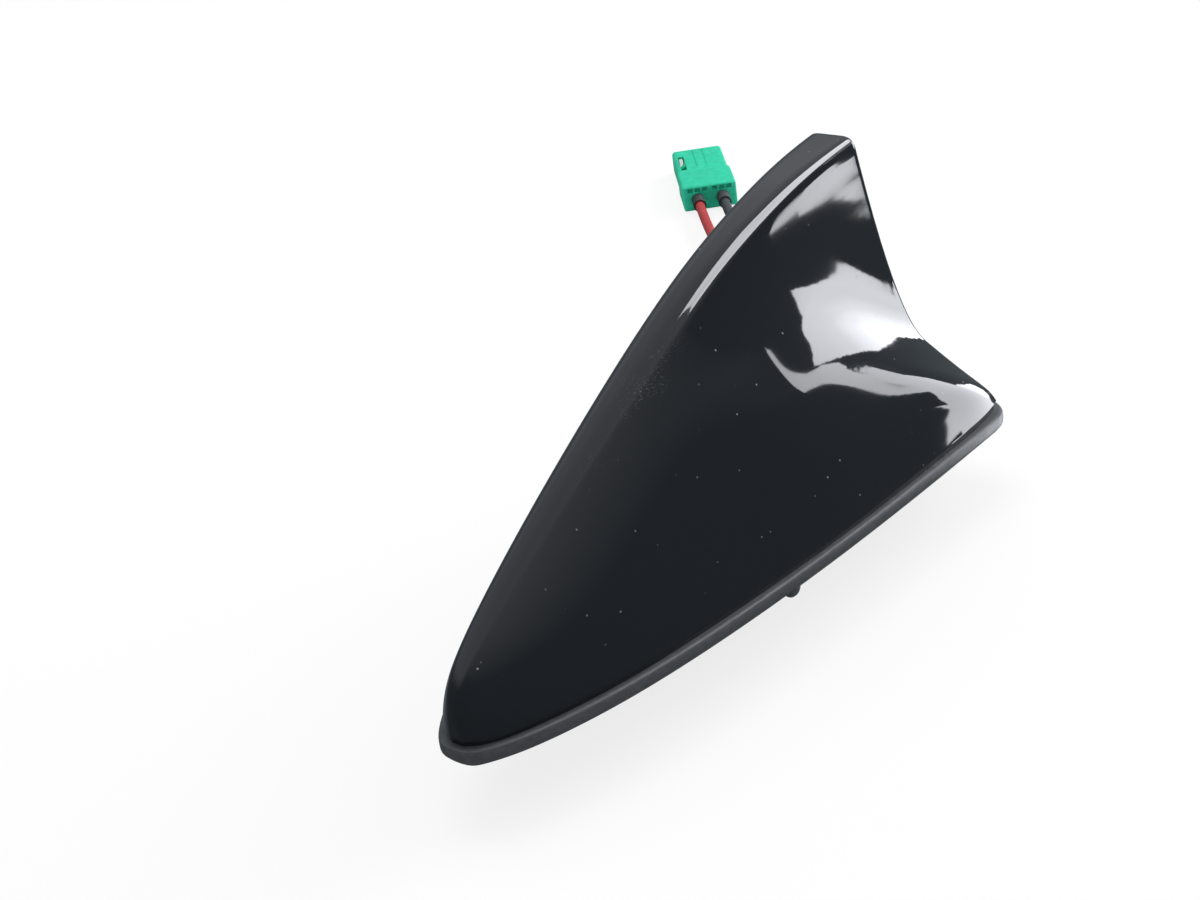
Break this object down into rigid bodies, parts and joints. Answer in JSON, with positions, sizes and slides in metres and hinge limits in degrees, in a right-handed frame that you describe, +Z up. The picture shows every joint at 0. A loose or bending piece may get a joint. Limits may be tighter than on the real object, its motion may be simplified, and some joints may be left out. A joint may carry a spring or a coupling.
{
  "type": "car roof antenna",
  "caption": "Fin-shaped car roof antenna with a glossy dark cover, rubber base gasket, threaded hollow boss and a coaxial pigtail ending in a green plug.",
  "frame": {"origin": "on the axis of the mounting boss, in the plane of the roof seat (underside of the gasket)", "axes": "+X points to the tail of the fin (rear of the car), +Y to the car's right, +Z up out of the roof"},
  "size_m": [0.3139, 0.1947, 0.086],
  "materials": {
    "gloss_black": "glossy",
    "rubber_grey": "satin",
    "cast_metal": "cast",
    "board": "satin",
    "ceramic": "matte",
    "tinned": "satin",
    "frame_plastic": "matte",
    "screw_steel": "satin",
    "jacket_red": "satin",
    "jacket_black": "satin",
    "sleeve_black": "matte",
    "plug_green": "satin",
    "contact_metal": "bright"
  },
  "bodies": {
    "root": {"fin_cover": "gloss_black", "base_gasket": "rubber_grey", "base_plate": "cast_metal", "cable_grommet": "rubber_grey", "main_board": "board", "board_screws": "screw_steel", "cover_screws": "screw_steel", "satellite_patch": "ceramic", "patch_electrode": "tinned", "shield_can": "tinned", "element_holder": "frame_plastic", "top_element": "tinned", "feed_strip": "tinned", "coax_red": "jacket_red", "coax_black": "jacket_black", "plug_housing": "plug_green", "plug_lock": "plug_green", "contact_ferrules": "contact_metal", "contact_pins": "contact_metal", "crimp_sleeves": "sleeve_black"}
  },
  "joints": []
}
